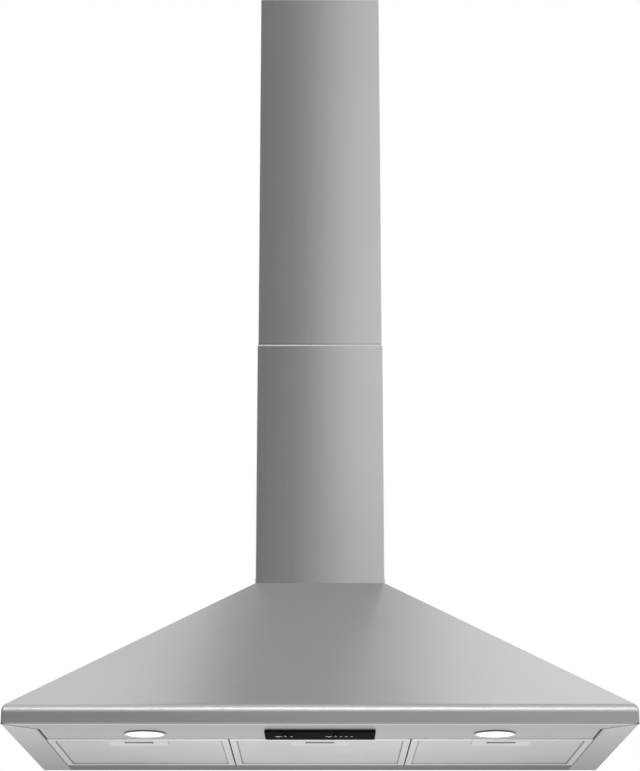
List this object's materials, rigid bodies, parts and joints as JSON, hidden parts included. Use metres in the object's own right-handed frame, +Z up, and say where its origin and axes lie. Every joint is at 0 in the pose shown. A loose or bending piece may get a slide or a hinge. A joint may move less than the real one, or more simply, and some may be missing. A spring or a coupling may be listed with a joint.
{
  "type": "wall-mounted chimney range hood",
  "caption": "Stainless chimney range hood: pyramid canopy with lamps, slide controls and latched grease filters, a blower with damper flaps, and a telescopic chimney.",
  "frame": {"origin": "middle of the back panel's lower edge, on the wall plane, level with the underside", "axes": "+X to the right seen from the front, +Y out of the back into the wall, +Z up the chimney"},
  "size_m": [0.9, 0.5, 1.2992],
  "materials": {
    "canopy_shell": "satin brushed",
    "canopy_back_panel": "satin brushed",
    "front_panel": "satin brushed",
    "left_side_rail": "satin brushed",
    "right_side_rail": "satin brushed",
    "rear_rail": "satin brushed",
    "lower_chimney_cover": "satin brushed",
    "chimney_wall_bracket": "satin brushed",
    "lower_cover_clips": "satin brushed",
    "lower_cover_screws": "bright",
    "outlet_collar": "matt",
    "flap_pin": "bright",
    "collar_screws": "bright",
    "blower_housing_left": "matt",
    "blower_housing_right": "matt",
    "housing_screws": "bright",
    "motor": "semi-gloss",
    "motor_bracket": "satin brushed",
    "motor_mounts": "matt",
    "electrics_box": "matt",
    "electrics_cover": "matt",
    "lamp_driver": "matt",
    "terminal_block": "matt",
    "capacitor": "gloss",
    "capacitor_clip": "satin brushed",
    "cable_gland": "matt",
    "gland_nut": "matt",
    "left_lamp_ring": "bright",
    "left_lamp_lens": "frosted",
    "left_lamp_housing": "semi-gloss",
    "right_lamp_ring": "bright",
    "right_lamp_lens": "frosted",
    "right_lamp_housing": "semi-gloss",
    "lamp_clips": "satin brushed",
    "control_housing": "gloss",
    "switch_board": "matt",
    "upper_chimney_cover": "satin brushed",
    "upper_cover_screws": "bright",
    "impeller": "satin",
    "motor_shaft": "bright",
    "left_flap": "matt",
    "right_flap": "matt",
    "light_slider": "gloss",
    "fan_slider": "gloss",
    "left_filter_frame": "satin",
    "left_filter_mesh": "satin",
    "left_filter_handle": "satin",
    "left_latch_spring": "satin brushed",
    "left_filter_latch": "bright",
    "middle_filter_frame": "satin",
    "middle_filter_mesh": "satin",
    "middle_filter_handle": "satin",
    "middle_latch_spring": "satin brushed",
    "middle_filter_latch": "bright",
    "right_filter_frame": "satin",
    "right_filter_mesh": "satin",
    "right_filter_handle": "satin",
    "right_latch_spring": "satin brushed",
    "right_filter_latch": "bright"
  },
  "bodies": {
    "hood": {"canopy_shell": "canopy_shell", "canopy_back_panel": "canopy_back_panel", "front_panel": "front_panel", "left_side_rail": "left_side_rail", "right_side_rail": "right_side_rail", "rear_rail": "rear_rail", "lower_chimney_cover": "lower_chimney_cover", "chimney_wall_bracket": "chimney_wall_bracket", "lower_cover_clips": "lower_cover_clips", "lower_cover_screws": "lower_cover_screws", "outlet_collar": "outlet_collar", "flap_pin": "flap_pin", "collar_screws": "collar_screws", "blower_housing_left": "blower_housing_left", "blower_housing_right": "blower_housing_right", "housing_screws": "housing_screws", "motor": "motor", "motor_bracket": "motor_bracket", "motor_mounts": "motor_mounts", "electrics_box": "electrics_box", "electrics_cover": "electrics_cover", "lamp_driver": "lamp_driver", "terminal_block": "terminal_block", "capacitor": "capacitor", "capacitor_clip": "capacitor_clip", "cable_gland": "cable_gland", "gland_nut": "gland_nut", "left_lamp_ring": "left_lamp_ring", "left_lamp_lens": "left_lamp_lens", "left_lamp_housing": "left_lamp_housing", "right_lamp_ring": "right_lamp_ring", "right_lamp_lens": "right_lamp_lens", "right_lamp_housing": "right_lamp_housing", "lamp_clips": "lamp_clips", "control_housing": "control_housing", "switch_board": "switch_board"},
    "upper_chimney": {"upper_chimney_cover": "upper_chimney_cover", "upper_cover_screws": "upper_cover_screws"},
    "fan_wheel": {"impeller": "impeller", "motor_shaft": "motor_shaft"},
    "left_damper": {"left_flap": "left_flap"},
    "right_damper": {"right_flap": "right_flap"},
    "light_switch_slider": {"light_slider": "light_slider"},
    "fan_switch_slider": {"fan_slider": "fan_slider"},
    "left_filter": {"left_filter_frame": "left_filter_frame", "left_filter_mesh": "left_filter_mesh", "left_filter_handle": "left_filter_handle", "left_latch_spring": "left_latch_spring"},
    "left_latch": {"left_filter_latch": "left_filter_latch"},
    "middle_filter": {"middle_filter_frame": "middle_filter_frame", "middle_filter_mesh": "middle_filter_mesh", "middle_filter_handle": "middle_filter_handle", "middle_latch_spring": "middle_latch_spring"},
    "middle_latch": {"middle_filter_latch": "middle_filter_latch"},
    "right_filter": {"right_filter_frame": "right_filter_frame", "right_filter_mesh": "right_filter_mesh", "right_filter_handle": "right_filter_handle", "right_latch_spring": "right_latch_spring"},
    "right_latch": {"right_filter_latch": "right_filter_latch"}
  },
  "joints": [
    {"name": "upper_chimney_slide", "type": "slide", "parent": "hood", "child": "upper_chimney", "axis": [0, 0, 1], "range_m": [-0.3, 0]},
    {"name": "impeller_spin", "type": "hinge", "parent": "hood", "child": "fan_wheel", "pos_m": [0, -0.14575, 0.14], "axis": [1, 0, 0], "continuous": true},
    {"name": "left_flap_hinge", "type": "hinge", "parent": "hood", "child": "left_damper", "pos_m": [0, -0.09025, 0.294], "axis": [0, 1, 0], "range_deg": [0, 75]},
    {"name": "right_flap_hinge", "type": "hinge", "parent": "hood", "child": "right_damper", "pos_m": [0, -0.09025, 0.294], "axis": [0, -1, 0], "range_deg": [0, 75]},
    {"name": "light_slide", "type": "slide", "parent": "hood", "child": "light_switch_slider", "axis": [1, 0, 0], "range_m": [0, 0.0088]},
    {"name": "fan_slide", "type": "slide", "parent": "hood", "child": "fan_switch_slider", "axis": [1, 0, 0], "range_m": [0, 0.0234]},
    {"name": "left_filter_hinge", "type": "hinge", "parent": "hood", "child": "left_filter", "pos_m": [-0.26867, -0.071, 0.001], "axis": [1, 0, 0], "range_deg": [0, 55]},
    {"name": "left_latch_slide", "type": "slide", "parent": "left_filter", "child": "left_latch", "axis": [0, 1, 0], "range_m": [0, 0.007], "stiffness_N_per_m": 350, "springref_m": -0.005, "deforming": ["left_latch_spring"]},
    {"name": "middle_filter_hinge", "type": "hinge", "parent": "hood", "child": "middle_filter", "pos_m": [0, -0.071, 0.001], "axis": [1, 0, 0], "range_deg": [0, 55]},
    {"name": "middle_latch_slide", "type": "slide", "parent": "middle_filter", "child": "middle_latch", "axis": [0, 1, 0], "range_m": [0, 0.007], "stiffness_N_per_m": 350, "springref_m": -0.005, "deforming": ["middle_latch_spring"]},
    {"name": "right_filter_hinge", "type": "hinge", "parent": "hood", "child": "right_filter", "pos_m": [0.26867, -0.071, 0.001], "axis": [1, 0, 0], "range_deg": [0, 55]},
    {"name": "right_latch_slide", "type": "slide", "parent": "right_filter", "child": "right_latch", "axis": [0, 1, 0], "range_m": [0, 0.007], "stiffness_N_per_m": 350, "springref_m": -0.005, "deforming": ["right_latch_spring"]}
  ]
}
